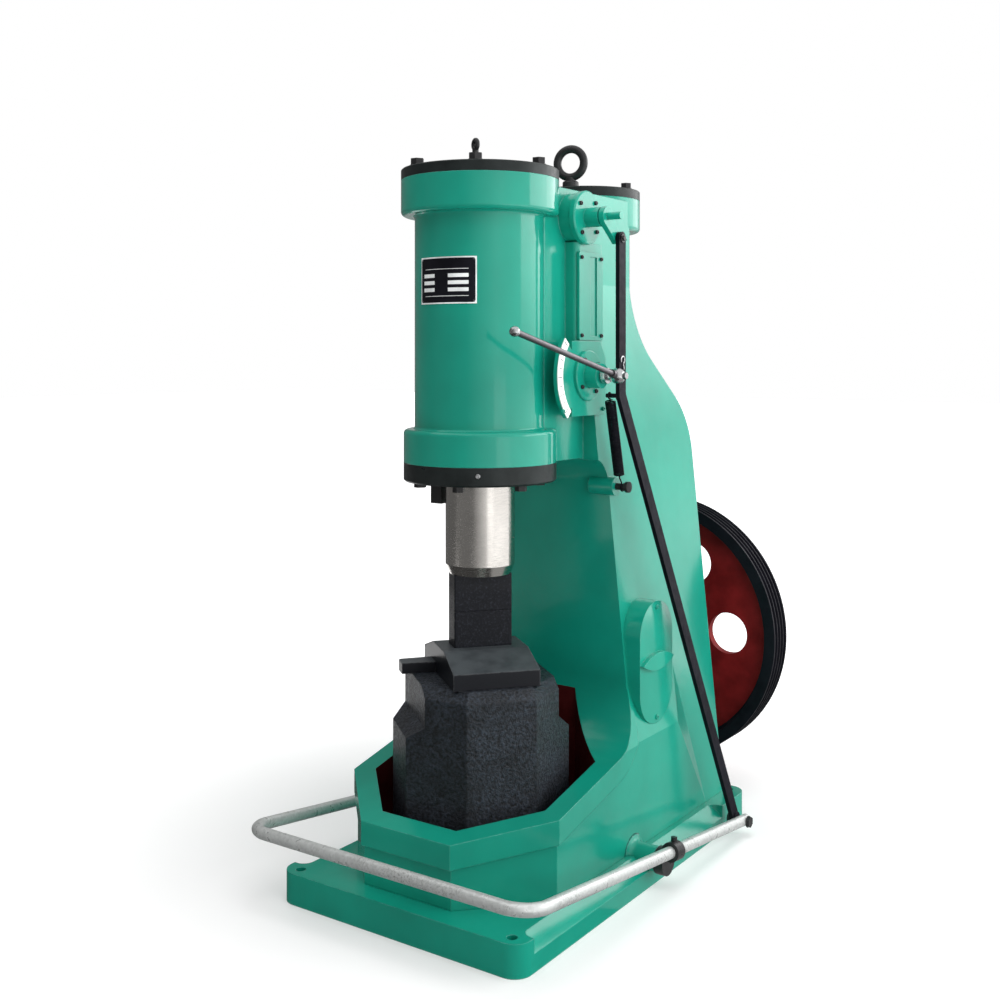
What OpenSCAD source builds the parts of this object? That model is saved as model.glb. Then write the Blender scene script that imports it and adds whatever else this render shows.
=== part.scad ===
// Air forging hammer: one cast frame carrying a working cylinder and a compressor cylinder,
// a ram with an upper die, an anvil in an octagonal tub, a foot treadle and a flywheel.
// Origin: centre of the base underside. X across, Y from the ram (front) to the flywheel, Z up.

/* [Base] */
// Width of the base plate
base_w = 640; // [620:5:760]
// Length of the base plate
base_l = 1068; // [960:5:1300]
// Thickness of the base plate
base_t = 68; // [50:1:90]
// Thickness of the base plate at its thinned side edges
base_edge_t = 38; // [25:1:48]
// Diameter of each foundation bolt hole
bolt_hole_d = 22; // [16:1:30]

/* [Anvil housing] */
// Width of the octagonal tub across the band round its rim
tub_w = 562; // [520:2:590]
// Wall thickness of the tub rim
tub_wall = 48; // [36:1:56]
// Height of the rim at its front, above the floor
rim_z = 205; // [180:1:240]
// Upward slope of the rim, front to back, in degrees
rim_slope = 12.7; // [8:0.1:15]

/* [Frame] */
// Height of the cylinder covers above the floor
top_z = 1620; // [1560:5:1950]
// Height of the throat roof above the floor
throat_z = 962; // [930:2:1000]
// Distance from the ram axis back to the front of the column
throat_depth = 255; // [245:1:290]
// Half width of the frame between the cylinders
head_hw = 140; // [130:1:146]

/* [Cylinders] */
// Diameter of the ram
ram_d = 157; // [130:1:190]
// Outside diameter of the working cylinder barrel
barrel_d = 296; // [284:1:330]
// Outside diameter of the top collar of the working cylinder
collar_d = 358; // [350:1:390]
// Outside diameter of the compressor cylinder head
comp_d = 284; // [270:1:300]
// Free travel of the ram above the lower die
ram_travel = 235; // [190:5:245]

/* [Dies] */
// Height of the working face of the lower die above the floor
die_z = 629; // [610:1:640]
// Length of the working face of both dies
die_l = 133; // [110:1:140]
// Width of the working face of both dies
die_w = 60; // [50:1:72]

/* [Drive] */
// Outside diameter of the flywheel
wheel_d = 722; // [600:2:760]
// Width of the grooved flywheel rim
wheel_w = 84; // [80:1:100]
// Number of belt grooves
groove_n = 4; // [3, 4]

/* [Treadle] */
// Outside diameter of the treadle pipe
pipe_d = 26.9; // [22:0.1:33]
// Distance between the centre lines of the treadle arms
treadle_w = 744; // [730:2:780]

/* [Hidden] */
$fn = 96;
lap = 0.5;                            // how far joined shapes run into each other

// Places along the frame
ram_y = -base_l / 2 + 315;            // ram axis
comp_y = ram_y + 459;                 // compressor axis
col_front = ram_y + throat_depth;     // front face of the column
col_back = base_l / 2 - 44;           // back face of the column
rib_y = col_front - 36;               // front edge of the wide flanks above the throat

// Base
base_corner_r = 40;
hole_in_x = 38;                       // bolt holes in from the sides
hole_in_y = 29;                       // bolt holes in from the ends
strip_in = 32;                        // width of the thinned side strips
strip_y0 = -base_l / 2 + 50;
strip_y1 = base_l / 2 - 153;
strip_r = 25;

// Tub
band_step = 8;                        // band stands this far out from the tub
band_h = 52;
tub_front = ram_y - 272;
tub_a = 119;                          // half width of the front face of the tub
tub_back_wall = 4;
rim_sweep_r = 150;                    // arc from the rim up into the column
foot_hw = tub_w / 2 - band_step;      // half width of the tub and of the column's foot
cheek_z0 = 310;                       // cheeks beside the rim lean in from here
cheek_z1 = 430;                       // up to here

// Column
taper_z = throat_z + 410;             // the flanks lean in up to here
throat_r = 57;
flank_top = top_z - 34;
hip = [col_back, throat_z + 75];      // corners of the S-shaped back
waist = [comp_y - 15, throat_z + 298];
hip_r = 190;
waist_r = 235;
comp_barrel_d = comp_d - 52;
pad_turn = 33.1;                      // lean of the pads behind the tub
pad_at = 329;                         // where their outer faces begin to fade, from the tub side
pad_fade = 19.3;                      // and at which angle

// Cylinders
cover_t = 24;                         // cylinder cover thickness
cover_edge = 2;
collar_top = top_z - cover_t;
collar_h = 80;
low_collar_h = 75;
low_collar_d = collar_d - 12;
collar_r = 10;                        // rounded collar edges
neck_r = 6;                           // fillet between barrel and collar
gland_h = 42;
gland_z0 = throat_z - gland_h;
bore_d = ram_d + 34;                  // piston bore
ram_gap = 0.6;                        // radial clearance of the ram in its gland
piston_gap = 2;
piston_h = 60;
piston_top = collar_top - 61 - ram_travel;
ram_z0 = die_z + 82;                  // underside of the ram
ram_bevel_w = 9;
ram_bevel_h = 22;

// Cover fittings
cover_bolt_r = collar_d / 2 - 24;
comp_bolt_r = comp_d / 2 - 20;
front_turn = 2;                       // first bolt of each pattern, degrees
gland_turn = 46;
small_eye_at = -58;
big_eye = [30, comp_y - 116];
big_eye_turn = 10;
big_eye_r = 35;                       // mean radius of the lifting ring
big_eye_t = 20;                       // its thickness
gland_bolt_r = low_collar_d / 2 - 36;

// Anvil and dies
anvil_turn = 5;                       // the anvil stands turned about the ram axis
die_turn = anvil_turn + 45;           // and the dies lie across its corner faces
anvil_af = 372;                       // anvil across flats
anvil_end = 151;                      // half length between its trimmed ends
anvil_bevel = [26, 20];
sow_z = die_z - 145;                  // underside of the sow block
sow_hu = 97;                          // half length of the sow block along the dies
sow_hv = 150;                         // half width across them
sow_cheek = 36;
sow_h = 65;
sow_ridge = 55;                       // half width of its flat top
key_w = 45;
key_h = 24;
die_gap = 0.5;

// Flywheel
wheel_z = 440;
wheel_r = wheel_d / 2;
wheel_y0 = base_l / 2 + 86;
rim_t = 30;
web_in = 30;                          // recess of the web on each side
wheel_hub_r = 75;
shaft_r = 40;
shaft_gap = 0.5;
shaft_in = 3;
shaft_out = 20;
lightening_d = 112;
lightening_r = 213 - (722 - wheel_d) / 4;
groove_pitch = 19;
groove_top = 16;
groove_bottom = 9;
groove_depth = 14;
bearing_r = 90;
bearing_l = 70;
bearing_flange_r = 125;
bearing_flange_t = 30;

// Valve gear
valve_y = ram_y + 167;                // axes of both valves
valve_z1 = top_z - 102;
valve_z2 = valve_z1 - 362;
chest_x = 172;                        // outer face of the valve chest
chest_y0 = valve_y - 28;
chest_z0 = valve_z2 - 92;
chest_z1 = valve_z1 - 56;
chest_panel_t = 6;
chest_panel_z = [valve_z2 + 81, valve_z1 - 78];
valve_r = 11;                         // valve shafts
valve_gap = 0.5;
valve_in = 10;                        // how far a shaft enters the chest
valve_flange_r = 62;
valve_flange_t = 14;
valve_hub_r = 22.5;
valve_hub_x = chest_x + 50;
plate_t = 10;
scale_r = 129;
scale_w = 21;
scale_t = 2.5;
scale_up = 41;                        // the scale runs from here above the level
scale_down = 47;                      // to here below it, degrees
low_flange_r = 58;
low_flange_t = 8;
low_hub_r = 29;
low_hub_x = chest_x + 50;
lever_tilt = 12.7;                    // rest angle of the hand lever above the level
hand_l = 425;
hand_x = chest_x + 90;

// Treadle and its linkage
pivot = [ram_y + 223, 63];            // y and z of the treadle pivot
arm_slope = 7.2;                      // slope of the treadle arms, degrees
pipe_rise = 25.8;                     // pipe above its pivot
lug_x = treadle_w / 2 - 37;           // outer end of the treadle pivot lugs
lug_r = 28;
lug_flare = 16;
stub_r = 12;                          // treadle pivot stub
stub_l = 17;
stub_gap = 0.4;
hub_gap = 3;
hub_r = 31;
clamp_t = 8;
clamp_l = 34;
front_arm = 594;                      // pipe ahead of the pivot, along its slope
rear_arm = 402;                       // pipe behind the pivot on the valve side
short_arm = 60;                       // and on the other side
bend_r = 60;
pin_at = 384;                         // rod pin behind the pivot
pin_r = 7;                            // pin at the rear end of the treadle
top_pin_r = 6;                        // pin in the valve lever
pin_gap = 0.5;
open_gap = 2.5;                       // clearance of the pull rod on the lever's pin
pin_y = pivot[0] + pin_at * cos(arm_slope) + pipe_rise * sin(arm_slope);
pin_z = pivot[1] - pin_at * sin(arm_slope) + pipe_rise * cos(arm_slope);
lever_l = 65;
lever_rest = -46;                     // rest angle of the valve lever from +Y
lever_t = 13;
lever_x = chest_x + 53;
top_y = valve_y + lever_l * cos(lever_rest);
top_pin_z = valve_z1 + lever_l * sin(lever_rest);
knee_z = valve_z2 - 44;               // bend of the pull rod
rod_x = chest_x + 68;                 // inner face of the pull rod above its bend
rod_t = 10;
rod_w = 30;
rod_low_x = treadle_w / 2 - pipe_d / 2 - 3 - rod_t / 2;   // mid plane of the rod's lower eye
spring_x = rod_x - 18;
spring_d = 26;
anchor = [col_front + 7, throat_z - 67];
anchor_boss_x = 206;
spring_top = [top_y - 11, knee_z - 2];
spring_foot = anchor + [-11, 6];
peg_r = 5;

function unit(v) = v / norm(v);
// Half width of the flanks at height z
function hw_at(z) = z >= taper_z ? head_hw
    : foot_hw - (foot_hw - head_hw) * (z - base_t) / (taper_z - base_t);
function rim_at(y) = rim_z + (y - tub_front) * tan(rim_slope);

// ---- Shared shapes ----
// What an arc of radius r adds to an inner corner at p1, or takes off an outer one
module corner_bit(p0, p1, p2, r) {
    a = unit(p0 - p1);
    b = unit(p2 - p1);
    half = acos(a * b) / 2;
    t = r / tan(half);
    c = p1 + unit(a + b) * r / sin(half);
    difference() {
        polygon([p1 - (a + b) * lap, p1 + a * t - b * lap, p1 + a * t, c, p1 + b * t,
                 p1 + b * t - a * lap]);
        translate(c) circle(r);
    }
}
// Outline in y and z, drawn out along x
module along_x(x0, x1) {
    translate([x0, 0, 0]) rotate([90, 0, 90]) linear_extrude(x1 - x0) children();
}
// Outline in x and z, drawn out along y
module along_y(y0, y1) {
    translate([0, y1, 0]) rotate([90, 0, 0]) linear_extrude(y1 - y0) children();
}
module both_sides() {
    children();
    mirror([1, 0, 0]) children();
}
// Rectangle with rounded corners
module round_rect(w, l, r) {
    square([w - 2 * r, l], center = true);
    square([w, l - 2 * r], center = true);
    for (sx = [-1, 1], sy = [-1, 1]) translate([sx * (w / 2 - r), sy * (l / 2 - r)]) circle(r);
}
// Disc with a small bevel on its upper edge
module bevelled_disc(r, h, e) {
    rotate_extrude() polygon([[0, 0], [r, 0], [r, h - e], [r - e, h], [0, h]]);
}
// Bolt head or nut on a washer standing on z = 0, across flats af
module hex_head(af, h) {
    cylinder(d = af / cos(30), h = h, $fn = 6);
    cylinder(d = af * 1.2, h = h * 0.18);
}
// Two discs joined by a tapered web, a little inside their tangents
module tapered_arm(r1, r2, l) {
    b = acos((r1 - r2) / l);
    p1 = (r1 - lap) * [cos(b), sin(b)];
    p2 = [l, 0] + (r2 - lap) * [cos(b), sin(b)];
    circle(r1);
    translate([l, 0]) circle(r2);
    polygon([p1, p2, [p2[0], -p2[1]], [p1[0], -p1[1]]]);
}

// ---- Base ----
module base_body() {
    difference() {
        linear_extrude(base_t) round_rect(base_w, base_l, base_corner_r);
        // thinned side strips
        both_sides() intersection() {
            along_y(-base_l, base_l) polygon([
                [base_w / 2 - strip_in, base_t],
                [base_w / 2 + strip_in, 2 * base_edge_t - base_t],
                [base_w / 2 + strip_in, base_t + 1], [base_w / 2 - strip_in, base_t + 1]]);
            linear_extrude(base_t + 2) difference() {
                translate([base_w / 2 - strip_in, strip_y0])
                    square([2 * strip_in, strip_y1 - strip_y0]);
                for (end = [[strip_y0, strip_y1], [strip_y1, strip_y0]])
                    corner_bit([base_w, end[0]], [base_w / 2 - strip_in, end[0]],
                               [base_w / 2 - strip_in, end[1]], strip_r);
            }
        }
    }
}
module base_plate() {
    color("seagreen") difference() {
        base_body();
        for (sx = [-1, 1], sy = [-1, 1])
            translate([sx * (base_w / 2 - hole_in_x), sy * (base_l / 2 - hole_in_y), -1])
                cylinder(d = bolt_hole_d, h = base_t + 2);
    }
}

// ---- Anvil housing ----
// Tub outline seen from above, each face moved in by inset
module tub_plan(inset, back) {
    a = tub_a - inset * tan(22.5);
    b = tub_w / 2 - inset;
    y0 = tub_front + inset;
    c = b - a;
    polygon([[-a, y0], [a, y0], [b, y0 + c], [b, back], [-b, back], [-b, y0 + c]]);
}
module tub_hole() {
    a = tub_a - tub_wall * tan(22.5);
    b = tub_w / 2 - tub_wall;
    y0 = tub_front + tub_wall;
    y1 = col_front - tub_back_wall;
    c = b - a;
    polygon([[-a, y0], [a, y0], [b, y0 + c], [b, y1 - c], [a, y1], [-a, y1], [-b, y1 - c],
             [-b, y0 + c]]);
}
// Side outline under the sloped rim, which sweeps up into the column
module rim_outline() {
    corner = [col_front, rim_at(col_front)];
    polygon([[tub_front - 1, base_t], [col_front + 1, base_t], corner + [1, 0], corner,
             [tub_front - 1, rim_at(tub_front - 1)]]);
    corner_bit([tub_front, rim_z], corner, [col_front, top_z], rim_sweep_r);
}
// Front outline of the tub: upright sides, then cheeks leaning in to the column
module cheek_outline(hw) {
    polygon([[-hw, base_t], [hw, base_t], [hw, cheek_z0], [hw_at(cheek_z1), cheek_z1],
             [hw_at(taper_z), taper_z], [-hw_at(taper_z), taper_z], [-hw_at(cheek_z1), cheek_z1],
             [-hw, cheek_z0]]);
}
module anvil_housing() {
    color("seagreen") difference() {
        union() {
            intersection() {
                translate([0, 0, base_t]) linear_extrude(top_z) tub_plan(band_step, col_front);
                along_x(-base_w, base_w) rim_outline();
                along_y(-base_l, base_l) cheek_outline(foot_hw);
            }
            // band round the rim
            intersection() {
                translate([0, 0, base_t]) linear_extrude(top_z) tub_plan(0, col_front);
                along_x(-base_w, base_w) difference() {
                    rim_outline();
                    translate([0, -band_h]) rim_outline();
                }
                along_y(-base_l, base_l) cheek_outline(foot_hw + band_step);
            }
        }
        linear_extrude(top_z) tub_hole();
    }
}

// ---- Column ----
module side_outline() {
    head = [col_front, throat_z];
    difference() {
        polygon([[col_front, base_t], [col_back, base_t], hip, waist, [waist[0], flank_top],
                 [ram_y, flank_top], [ram_y, throat_z], head]);
        corner_bit([col_back, base_t], hip, waist, hip_r);
    }
    corner_bit(hip, waist, [waist[0], flank_top], waist_r);
    corner_bit([ram_y, throat_z], head, [col_front, base_t], throat_r);
}
module flank_outline() {
    polygon([[-foot_hw, base_t], [foot_hw, base_t], [head_hw, taper_z], [head_hw, top_z],
             [-head_hw, top_z], [-head_hw, taper_z]]);
}
// Pad that carries the tub side on into the flank and fades out behind
module flank_pad() {
    intersection() {
        along_y(col_front, col_back - 60) polygon([
            [head_hw, base_t], [foot_hw, base_t], [foot_hw, cheek_z0],
            [hw_at(cheek_z1), cheek_z1], [head_hw, cheek_z1]]);
        translate([0, col_front, 0]) rotate([pad_turn, 0, 0]) rotate([0, 180, 0]) rotate(90)
            translate([0, 0, -base_l]) linear_extrude(2 * base_l)
                polygon([[-base_l, 0], [pad_at + foot_hw / tan(pad_fade), 0],
                         [-base_l, foot_hw + (pad_at + base_l) * tan(pad_fade)]]);
    }
}
module comp_barrel() {
    translate([0, comp_y, 0]) rotate_extrude() {
        translate([0, throat_z + 100])
            square([comp_barrel_d / 2, collar_top - throat_z - 100]);
        difference() {
            translate([0, collar_top - collar_h]) square([comp_d / 2, collar_h]);
            corner_bit([0, collar_top - collar_h], [comp_d / 2, collar_top - collar_h],
                       [comp_d / 2, collar_top], collar_r);
        }
        corner_bit([comp_d / 2, collar_top - collar_h], [comp_barrel_d / 2, collar_top - collar_h],
                   [comp_barrel_d / 2, throat_z], neck_r);
    }
}
module valve_chest() {
    x0 = head_hw - 30;
    translate([0, 0, chest_z0]) linear_extrude(chest_z1 - chest_z0) difference() {
        translate([x0, chest_y0]) square([chest_x - x0, col_front - chest_y0]);
        corner_bit([x0, chest_y0], [chest_x, chest_y0], [chest_x, col_front], 12);
        corner_bit([chest_x, chest_y0], [chest_x, col_front], [x0, col_front], 6);
    }
    translate([x0, valve_y, valve_z1]) rotate([0, 90, 0])
        cylinder(r = valve_flange_r - 4, h = chest_x - x0);
}
module column() {
    color("seagreen") difference() {
        union() {
            intersection() {
                along_x(-base_w, base_w) side_outline();
                union() {
                    along_y(rib_y, base_l) flank_outline();
                    along_y(-base_l, rib_y + 1) translate([-head_hw, base_t])
                        square([2 * head_hw, top_z]);
                }
            }
            both_sides() flank_pad();
            comp_barrel();
            valve_chest();
            // boss of the spring anchor
            translate([head_hw, anchor[0], anchor[1]]) rotate([0, 90, 0])
                cylinder(r = 22, h = anchor_boss_x - head_hw);
        }
        for (z = [valve_z1, valve_z2])
            translate([chest_x - valve_in - 4, valve_y, z]) rotate([0, 90, 0])
                cylinder(r = valve_r + valve_gap, h = valve_in + 10);
        cylinder_body();
    }
}

// ---- Working cylinder ----
// Barrel with its two collars, solid
module cylinder_body() {
    r = barrel_d / 2;
    low = [low_collar_d / 2, throat_z + low_collar_h];
    high = [collar_d / 2, collar_top - collar_h];
    translate([0, ram_y, 0]) rotate_extrude() {
        difference() {
            polygon([[0, throat_z], [low[0], throat_z], low, [r, low[1]], [r, high[1]], high,
                     [high[0], collar_top], [0, collar_top]]);
            corner_bit([low[0], throat_z], low, [r, low[1]], collar_r);
            corner_bit([r, high[1]], high, [high[0], collar_top], collar_r);
        }
        corner_bit(low, [r, low[1]], [r, high[1]], neck_r);
        corner_bit([r, low[1]], [r, high[1]], high, neck_r);
    }
}
module working_cylinder() {
    color("seagreen") difference() {
        cylinder_body();
        translate([0, ram_y, throat_z - 1]) cylinder(d = bore_d, h = top_z);
    }
}

// ---- Anvil and dies ----
// Prism across the anvil with beveled upper edges
module anvil_slice(outline) {
    rotate([90, 0, 0]) translate([0, 0, -anvil_af]) linear_extrude(2 * anvil_af) polygon(outline);
}
module anvil_block() {
    a = anvil_af / 2;
    top = [a - anvil_bevel[0], sow_z];
    shoulder = [a, sow_z - anvil_bevel[1]];
    face = [[-a, base_t], [a, base_t], shoulder, top, [-top[0], top[1]], [-a, shoulder[1]]];
    trim_z = sow_z - 112;
    trimmed = [[-a, base_t], [a, base_t], [a, trim_z], [anvil_end, trim_z + 28],
               [anvil_end, sow_z], [-anvil_end, sow_z], [-anvil_end, trim_z + 28], [-a, trim_z]];
    color("dimgray") translate([0, ram_y, 0]) rotate(anvil_turn) intersection() {
        anvil_slice(face);
        rotate(45) anvil_slice(trimmed);
        rotate(90) anvil_slice(face);
        rotate(135) anvil_slice(face);
    }
}
module sow_block() {
    z1 = sow_z + sow_cheek;
    z2 = sow_z + sow_h;
    color("dimgray") translate([0, ram_y, 0]) rotate(die_turn)
        along_x(-sow_hu, sow_hu) polygon([
            [-sow_hv, sow_z], [sow_hv, sow_z], [sow_hv, z1], [sow_ridge, z2], [-sow_ridge, z2],
            [-sow_hv, z1]]);
}
// Taper key driven in beside the sow block
module sow_key() {
    color("black") translate([0, ram_y, sow_z]) rotate(die_turn)
        translate([-sow_hu - 77, sow_ridge - 25, 0]) linear_extrude(key_h)
            polygon([[0, 0], [77, -3], [77, key_w + 3], [6, key_w], [0, key_w - 6]]);
}
module die(z0, z1) {
    translate([0, ram_y, z0]) rotate(die_turn) linear_extrude(z1 - z0)
        round_rect(die_l, die_w, 3);
}
module lower_die() {
    color("black") die(sow_z + sow_h, die_z);
}
module upper_die() {
    color("black") die(die_z + die_gap, ram_z0);
}

// ---- Covers ----
module front_cover() {
    color("dimgray") translate([0, ram_y, collar_top])
        bevelled_disc(collar_d / 2, cover_t, cover_edge);
}
module compressor_cover() {
    color("dimgray") translate([0, comp_y, collar_top])
        bevelled_disc(comp_d / 2, cover_t, cover_edge);
}
module cover_bolts() {
    color("black") for (i = [0 : 4]) {
        translate([0, ram_y, top_z]) rotate(i * 60 + front_turn) translate([cover_bolt_r, 0, 0])
            hex_head(27, 17);
        translate([0, comp_y, top_z]) rotate(i * 60) translate([comp_bolt_r, 0, 0])
            hex_head(24, 15);
    }
}
module front_eyebolt() {
    color("black") translate([0, ram_y, top_z]) rotate(small_eye_at)
        translate([cover_bolt_r, 0, 0]) {
            hex_head(27, 16);
            cylinder(d = 14, h = 26);
            translate([0, 0, 34]) rotate([90, 0, 30]) rotate_extrude() translate([9.5, 0]) circle(5);
        }
}
module lifting_eyebolt() {
    ring_z = big_eye_r + big_eye_t / 2 + 14;
    color("black") translate([big_eye[0], big_eye[1], top_z]) rotate(big_eye_turn) {
        bevelled_disc(20, 14, 3);
        cylinder(r = 13, h = 22);
        translate([0, 0, ring_z]) rotate([90, 0, 0]) rotate_extrude() translate([big_eye_r, 0])
            circle(d = big_eye_t);
    }
}
module gland_flange() {
    color("dimgray") translate([0, ram_y, gland_z0]) difference() {
        rotate_extrude() polygon([
            [0, 0], [low_collar_d / 2 - 4, 0], [low_collar_d / 2, 4], [low_collar_d / 2, gland_h],
            [0, gland_h]]);
        translate([0, 0, -1]) cylinder(d = ram_d + 2 * ram_gap, h = gland_h + 2);
    }
}
module gland_bolts() {
    color("black") translate([0, ram_y, gland_z0])
        for (i = [0 : 5]) rotate(i * 60 + gland_turn) translate([gland_bolt_r, 0, 0])
            rotate([180, 0, 0]) hex_head(24, 14);
}
// Block under the gland that locks the lifted ram
module ram_latch() {
    color("black") translate([-ram_d / 2 - 43, ram_y - 26, gland_z0 - 58]) cube([30, 40, 58]);
}

// ---- Valve gear ----
module valve_chest_cover() {
    l = col_front - 10 - chest_y0;
    h = chest_panel_z[1] - chest_panel_z[0];
    color("seagreen") translate([0, chest_y0 + 1, chest_panel_z[0]])
        along_x(chest_x, chest_x + chest_panel_t) difference() {
            translate([l / 2, h / 2]) round_rect(l, h, 5);
            // open groove down the panel
            translate([l / 2 - 4, 10]) square([30, h - 20]);
        }
    color("seagreen") translate([0, chest_y0 + 1, chest_panel_z[0]])
        along_x(chest_x, chest_x + chest_panel_t - 3) translate([l / 2 - 5, 9])
            square([32, h - 18]);
}
module upper_valve_cover() {
    color("seagreen") translate([chest_x, valve_y, valve_z1]) rotate([0, 90, 0]) difference() {
        union() {
            bevelled_disc(valve_flange_r, valve_flange_t, 3);
            cylinder(r = valve_hub_r, h = valve_hub_x - chest_x);
        }
        translate([0, 0, -1]) cylinder(r = valve_r + valve_gap, h = valve_hub_x - chest_x + 2);
    }
}
// The part of a disc between the two ends of the scale
module scale_sector() {
    intersection() {
        circle(scale_r);
        polygon([[0, 0], 2 * scale_r * [-cos(scale_up), sin(scale_up)], [-2 * scale_r, 0],
                 2 * scale_r * [-cos(scale_down), -sin(scale_down)]]);
    }
}
module quadrant_plate() {
    color("seagreen") translate([0, valve_y, valve_z2]) along_x(chest_x, chest_x + plate_t)
        difference() {
            union() {
                scale_sector();
                polygon([[-66, chest_z0 - valve_z2], [86, chest_z0 - valve_z2], [86, 40],
                         [60, 79], [-66, 79]]);
            }
            circle(valve_r + valve_gap);
        }
}
module scale_arc() {
    color("white") translate([0, valve_y, valve_z2])
        along_x(chest_x + plate_t, chest_x + plate_t + scale_t) difference() {
            scale_sector();
            circle(scale_r - scale_w);
        }
}
module lower_valve_cover() {
    l = low_hub_x - chest_x - plate_t;
    color("seagreen") translate([chest_x + plate_t, valve_y, valve_z2]) rotate([0, 90, 0])
        difference() {
            union() {
                bevelled_disc(low_flange_r, low_flange_t, 2);
                cylinder(r = low_hub_r, h = l);
            }
            translate([0, 0, -1]) cylinder(r = valve_r + valve_gap, h = l + 2);
        }
}
module valve_lever() {
    color("seagreen") translate([0, valve_y, valve_z1]) {
        translate([chest_x - valve_in, 0, 0]) rotate([0, 90, 0])
            cylinder(r = valve_r, h = lever_x + 2 - chest_x + valve_in);
        translate([lever_x, 0, 0]) rotate([0, 90, 0]) cylinder(r = valve_r - 2.5, h = 47);
        along_x(lever_x, lever_x + lever_t) rotate(lever_rest)
            tapered_arm(valve_hub_r, top_pin_r + 7, lever_l);
        translate([lever_x + 1, lever_l * cos(lever_rest), lever_l * sin(lever_rest)])
            rotate([0, 90, 0]) cylinder(r = top_pin_r, h = rod_x + rod_t + 4 - lever_x);
    }
}
module hand_lever() {
    color("silver") translate([0, valve_y, valve_z2]) {
        translate([chest_x - valve_in, 0, 0]) rotate([0, 90, 0])
            cylinder(r = valve_r, h = hand_x - chest_x + valve_in);
        translate([low_hub_x + 4, 0, 0]) rotate([0, 90, 0]) cylinder(r = 18, h = 12);
        translate([hand_x, 0, 0]) sphere(r = 18);
        translate([hand_x, 0, 0]) rotate([90 - lever_tilt, 0, 0]) {
            cylinder(d = 13, h = hand_l);
            cylinder(r = 9.5, h = 28);
            translate([0, 0, hand_l]) sphere(r = 11);
        }
    }
}

// ---- Side details ----
module side_cover() {
    x1 = foot_hw - 6;
    r = 82;
    c = [col_front + 91, 475];
    color("seagreen") difference() {
        union() {
            along_x(head_hw, x1) translate(c) {
                square([2 * r, 126], center = true);
                for (t = [-1, 1]) translate([0, t * 63]) circle(r);
            }
            // lens-shaped grip across the cover
            along_x(x1 - 1, x1 + 11) translate(c + [-6, 5]) intersection() {
                translate([0, -134]) circle(154);
                translate([0, 134]) circle(154);
            }
        }
        along_y(-base_l, base_l) flank_outline();
        both_sides() flank_pad();
    }
}
module spring_anchor() {
    l = spring_x + 18 - anchor_boss_x;
    color("black") translate([anchor_boss_x, anchor[0], anchor[1]]) rotate([0, 90, 0]) {
        cylinder(r = 8, h = l);
        translate([0, 0, l - 8]) cylinder(r = 13, h = 8);
    }
}
spring_run = spring_foot - spring_top;
module return_spring() {
    color("black") translate([spring_x, spring_foot[0], spring_foot[1]])
        rotate([atan2(spring_run[0], -spring_run[1]), 0, 0]) translate([0, 0, 24])
            cylinder(d = spring_d, h = norm(spring_run) - 37);
}
module treadle_lugs() {
    l = lug_x - foot_hw;
    color("seagreen") difference() {
        both_sides() translate([foot_hw, pivot[0], pivot[1]]) rotate([0, 90, 0]) rotate_extrude() {
            square([lug_r, l]);
            difference() {
                square([lug_r + lug_flare, lug_flare]);
                translate([lug_r + lug_flare, lug_flare]) circle(lug_flare);
            }
        }
        base_body();
    }
}
module treadle_stubs() {
    color("silver") both_sides() translate([lug_x, pivot[0], pivot[1]]) rotate([0, 90, 0])
        cylinder(r = stub_r, h = stub_l);
}
module crank_bearing() {
    hole = shaft_r + shaft_gap;
    color("seagreen") translate([0, col_back, wheel_z]) rotate([-90, 0, 0]) rotate_extrude() {
        polygon([[hole, 0], [bearing_flange_r, 0], [bearing_flange_r, bearing_flange_t - 3],
                 [bearing_flange_r - 3, bearing_flange_t], [bearing_r, bearing_flange_t],
                 [bearing_r, bearing_l - 4], [bearing_r - 4, bearing_l], [hole, bearing_l]]);
        corner_bit([bearing_flange_r, bearing_flange_t], [bearing_r, bearing_flange_t],
                   [bearing_r, bearing_l], 10);
    }
}
module nameplate() {
    color("silver") translate([0, ram_y, valve_z1 - 204]) rotate(-114)
        rotate_extrude(angle = 57) translate([barrel_d / 2, 0]) square([1.5, 102]);
}

// ---- Moving parts ----
module ram() {
    r = ram_d / 2;
    piston_r = bore_d / 2 - piston_gap;
    color("lightgray") translate([0, ram_y, 0]) rotate_extrude() polygon([
        [0, ram_z0], [r - ram_bevel_w, ram_z0], [r, ram_z0 + ram_bevel_h],
        [r, piston_top - piston_h], [piston_r, piston_top - piston_h], [piston_r, piston_top],
        [0, piston_top]]);
}
// Recess between hub and rim, from the web at y0 out to y1
module wheel_recess(y0, y1) {
    hub = [wheel_hub_r, y0];
    rim = [wheel_r - rim_t, y0];
    difference() {
        polygon([hub, rim, [rim[0], y1], [hub[0], y1]]);
        corner_bit(hub, rim, [rim[0], y1], 10);
        corner_bit(rim, hub, [hub[0], y1], 10);
    }
}
module flywheel() {
    shaft_y = col_back + shaft_in - wheel_y0;
    color("darkred") translate([0, wheel_y0, wheel_z]) rotate([-90, 0, 0]) difference() {
        rotate_extrude() {
            difference() {
                square([wheel_r, wheel_w]);
                wheel_recess(web_in, -1);
                wheel_recess(wheel_w - web_in, wheel_w + 1);
                for (i = [0 : groove_n - 1])
                    translate([wheel_r, wheel_w / 2 + (i - (groove_n - 1) / 2) * groove_pitch])
                        polygon([[-groove_depth, -groove_bottom / 2], [1, -groove_top / 2],
                                 [1, groove_top / 2], [-groove_depth, groove_bottom / 2]]);
            }
            translate([0, shaft_y]) square([shaft_r, wheel_w + shaft_out - shaft_y]);
        }
        for (i = [0 : 5]) rotate(i * 60) translate([lightening_r, 0, -1])
            cylinder(d = lightening_d, h = wheel_w + 2);
    }
}
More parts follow.
